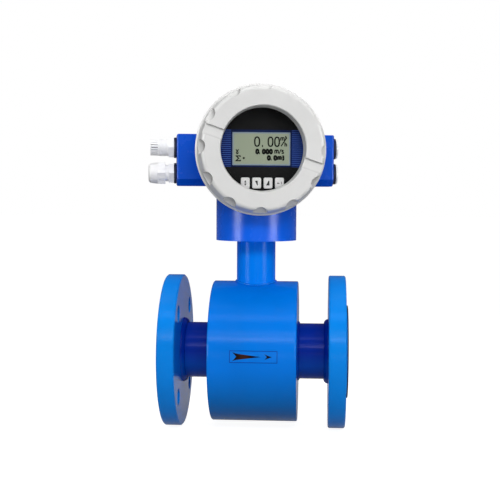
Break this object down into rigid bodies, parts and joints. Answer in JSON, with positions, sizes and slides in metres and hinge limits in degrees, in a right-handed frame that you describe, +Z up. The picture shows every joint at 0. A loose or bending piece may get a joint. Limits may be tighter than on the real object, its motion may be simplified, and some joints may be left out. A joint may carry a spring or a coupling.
{
  "type": "electromagnetic flow meter",
  "caption": "Flanged electromagnetic flow meter: lined measuring tube in a round coil housing, with a turnable display head on a neck, screw covers and cable glands.",
  "frame": {"origin": "centre of the flow bore, midway between the two flange faces", "axes": "+X along the flow from inlet to outlet, +Z up through the neck to the head, the display towards -Y, turned 9 degrees towards +X"},
  "size_m": [0.2209, 0.1654, 0.3673],
  "materials": {
    "flange_paint": "gloss enamel",
    "drum_paint": "gloss enamel",
    "tube_paint": "gloss enamel, deep blue",
    "head_paint": "smooth powder coat",
    "cover_paint": "light grey paint on an aluminium casting",
    "liner_rubber": "matt",
    "seal_rubber": "matt",
    "stainless": "turned",
    "plain_steel": "plain",
    "insulator": "plain",
    "coil_winding": "enamelled copper wire, taped",
    "clear_glass": "clear",
    "black_aluminium": "anodised black",
    "panel_print": "printed front plate",
    "lcd": "grey-green display",
    "key_white": "satin",
    "switch_black": "moulded",
    "board_green": "solder mask",
    "post_brass": "turned",
    "gland_nylon": "moulded nylon"
  },
  "bodies": {
    "sensor": {"measuring_tube": "tube_paint", "liner": "liner_rubber", "inlet_flange": "flange_paint", "outlet_flange": "flange_paint", "electrode_near": "stainless", "electrode_boss_near": "plain_steel", "electrode_bush_near": "insulator", "electrode_far": "stainless", "electrode_boss_far": "plain_steel", "electrode_bush_far": "insulator", "electrode_nuts": "stainless", "upper_coil": "coil_winding", "upper_pole": "plain_steel", "lower_coil": "coil_winding", "lower_pole": "plain_steel", "yoke": "plain_steel", "housing_shell": "drum_paint", "housing_end_inlet": "drum_paint", "housing_end_outlet": "drum_paint", "neck_tube": "drum_paint", "neck_seat": "drum_paint", "neck_seal": "seal_rubber"},
    "head": {"converter_housing": "head_paint", "clamp_screws": "stainless", "display_panel": "panel_print", "lcd_module": "lcd", "key_switches": "switch_black", "display_board": "board_green", "main_board": "board_green", "power_board": "board_green", "panel_posts": "post_brass", "front_posts": "post_brass", "middle_posts": "post_brass", "rear_posts": "post_brass", "terminal_block": "switch_black", "terminal_screws": "stainless", "upper_gland_washer": "seal_rubber", "upper_gland_body": "gland_nylon", "lower_gland_washer": "seal_rubber", "lower_gland_body": "gland_nylon", "upper_gland_insert": "seal_rubber", "upper_plug_washer": "seal_rubber", "upper_plug": "gland_nylon", "lower_plug_washer": "seal_rubber", "lower_plug": "gland_nylon"},
    "front_seal": {"front_cover_seal": "seal_rubber"},
    "front_cover": {"front_cover": "cover_paint", "window_gasket": "seal_rubber", "window_glass": "clear_glass", "window_holder": "black_aluminium"},
    "rear_seal": {"rear_cover_seal": "seal_rubber"},
    "rear_cover": {"rear_cover": "cover_paint"},
    "gland_insert": {"lower_gland_insert": "seal_rubber"},
    "gland_nut": {"lower_gland_nut": "gland_nylon"},
    "key_menu": {"key_menu": "key_white"},
    "key_down": {"key_down": "key_white"},
    "key_up": {"key_up": "key_white"},
    "key_enter": {"key_enter": "key_white"}
  },
  "joints": [
    {"name": "head_swivel", "type": "hinge", "parent": "sensor", "child": "head", "pos_m": [0, 0, 0.127], "axis": [0, 0, 1], "range_deg": [-99, 81]},
    {"name": "front_cover_advance", "type": "slide", "parent": "head", "child": "front_seal", "axis": [0.1564, -0.9877, 0], "range_m": [0, 0.01]},
    {"name": "front_cover_turn", "type": "hinge", "parent": "front_seal", "child": "front_cover", "pos_m": [0, 0, 0.2165], "axis": [0.1564, -0.9877, 0], "range_deg": [0, 1800]},
    {"name": "rear_cover_advance", "type": "slide", "parent": "head", "child": "rear_seal", "axis": [-0.1564, 0.9877, 0], "range_m": [0, 0.01]},
    {"name": "rear_cover_turn", "type": "hinge", "parent": "rear_seal", "child": "rear_cover", "pos_m": [0, 0, 0.2165], "axis": [-0.1564, 0.9877, 0], "range_deg": [0, 1800]},
    {"name": "gland_nut_advance", "type": "slide", "parent": "head", "child": "gland_insert", "axis": [-0.9877, -0.1564, 0], "range_m": [0, 0.006]},
    {"name": "gland_nut_turn", "type": "hinge", "parent": "gland_insert", "child": "gland_nut", "pos_m": [-0.10777, 0.00925, 0.1935], "axis": [-0.9877, -0.1564, 0], "range_deg": [0, 1440]},
    {"name": "key_menu_press", "type": "slide", "parent": "head", "child": "key_menu", "axis": [-0.1564, 0.9877, 0], "range_m": [0, 0.0005], "stiffness_N_per_m": 1500, "springref_m": -0.0003},
    {"name": "key_down_press", "type": "slide", "parent": "head", "child": "key_down", "axis": [-0.1564, 0.9877, 0], "range_m": [0, 0.0005], "stiffness_N_per_m": 1500, "springref_m": -0.0003},
    {"name": "key_up_press", "type": "slide", "parent": "head", "child": "key_up", "axis": [-0.1564, 0.9877, 0], "range_m": [0, 0.0005], "stiffness_N_per_m": 1500, "springref_m": -0.0003},
    {"name": "key_enter_press", "type": "slide", "parent": "head", "child": "key_enter", "axis": [-0.1564, 0.9877, 0], "range_m": [0, 0.0005], "stiffness_N_per_m": 1500, "springref_m": -0.0003}
  ],
  "couplings": [
    {"joint": "front_cover_advance", "follows": "front_cover_turn", "m_per_rad": 0.00031831},
    {"joint": "rear_cover_advance", "follows": "rear_cover_turn", "m_per_rad": 0.00031831},
    {"joint": "gland_nut_advance", "follows": "gland_nut_turn", "m_per_rad": 0.00023873}
  ]
}
